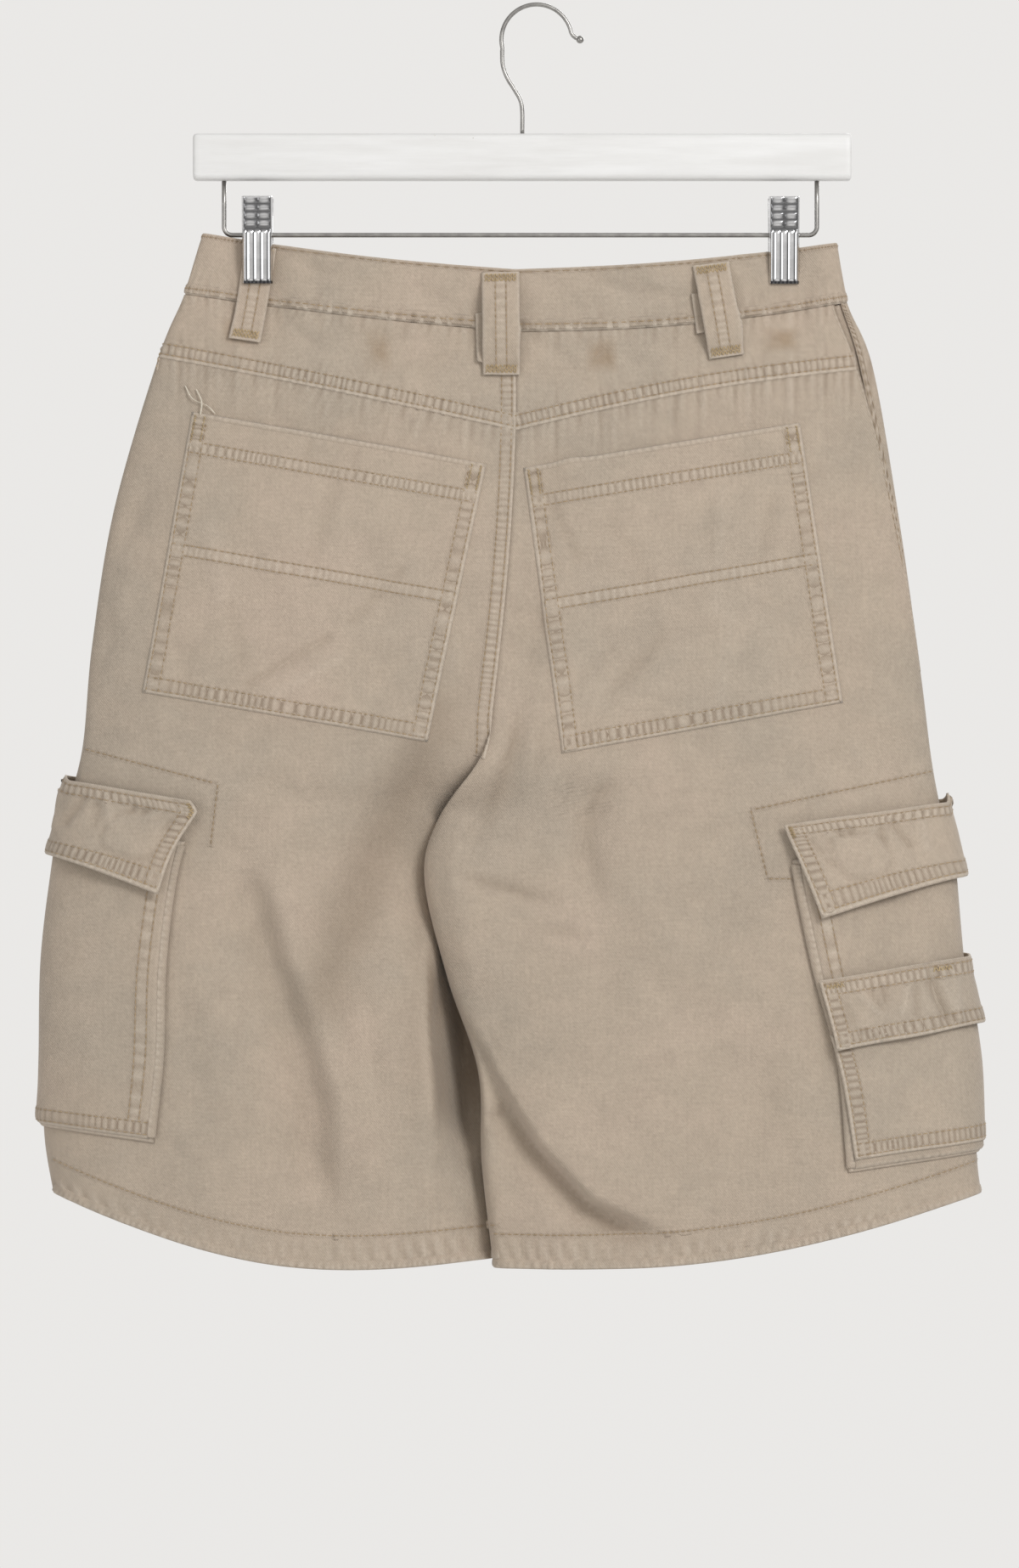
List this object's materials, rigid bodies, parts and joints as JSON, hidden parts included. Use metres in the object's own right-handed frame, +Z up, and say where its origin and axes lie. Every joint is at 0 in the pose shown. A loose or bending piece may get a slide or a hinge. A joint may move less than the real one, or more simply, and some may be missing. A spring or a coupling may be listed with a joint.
{
  "type": "cargo shorts on a clip hanger",
  "caption": "Washed twill cargo shorts hanging by the waistband from a painted wooden hanger with a steel rod and spring clips, seen from the seat side.",
  "frame": {"origin": "inside top of the hanger's hook, where it hangs on a rail or peg", "axes": "+Z up, -Y out of the seat of the shorts, +Y out of their front, +X to the wearer's right"},
  "size_m": [0.515, 0.0927, 0.6849],
  "materials": {
    "twill": "washed cotton twill, matte, with pale worn seams",
    "painted_wood": "satin off-white paint with small chips",
    "steel_wire": "dull steel wire",
    "chrome_clip": "polished chrome plate",
    "button": "satin brown"
  },
  "bodies": {
    "root": {"hanger_bar": "painted_wood", "hanger_hook": "steel_wire", "hanger_rod": "steel_wire", "clip_left_front": "chrome_clip", "clip_left_back": "chrome_clip", "clip_right_front": "chrome_clip", "clip_right_back": "chrome_clip", "waistband": "twill", "waist_button": "button", "belt_loop_centre": "twill", "belt_loop_back_left": "twill", "belt_loop_back_right": "twill", "belt_loop_front_left": "twill", "belt_loop_front_right": "twill", "yoke_left": "twill", "yoke_right": "twill", "back_panel_left": "twill", "back_panel_right": "twill", "front_panel_left": "twill", "front_panel_right": "twill", "hip_pocket_facing_left": "twill", "hip_pocket_facing_right": "twill", "fly": "twill", "back_pocket_left": "twill", "back_pocket_right": "twill", "cargo_gusset_left": "twill", "cargo_pocket_left": "twill", "cargo_flap_left": "twill", "cargo_gusset_right": "twill", "cargo_pocket_right": "twill", "cargo_flap_right": "twill", "phone_pocket_right": "twill", "phone_flap_right": "twill"}
  },
  "joints": []
}
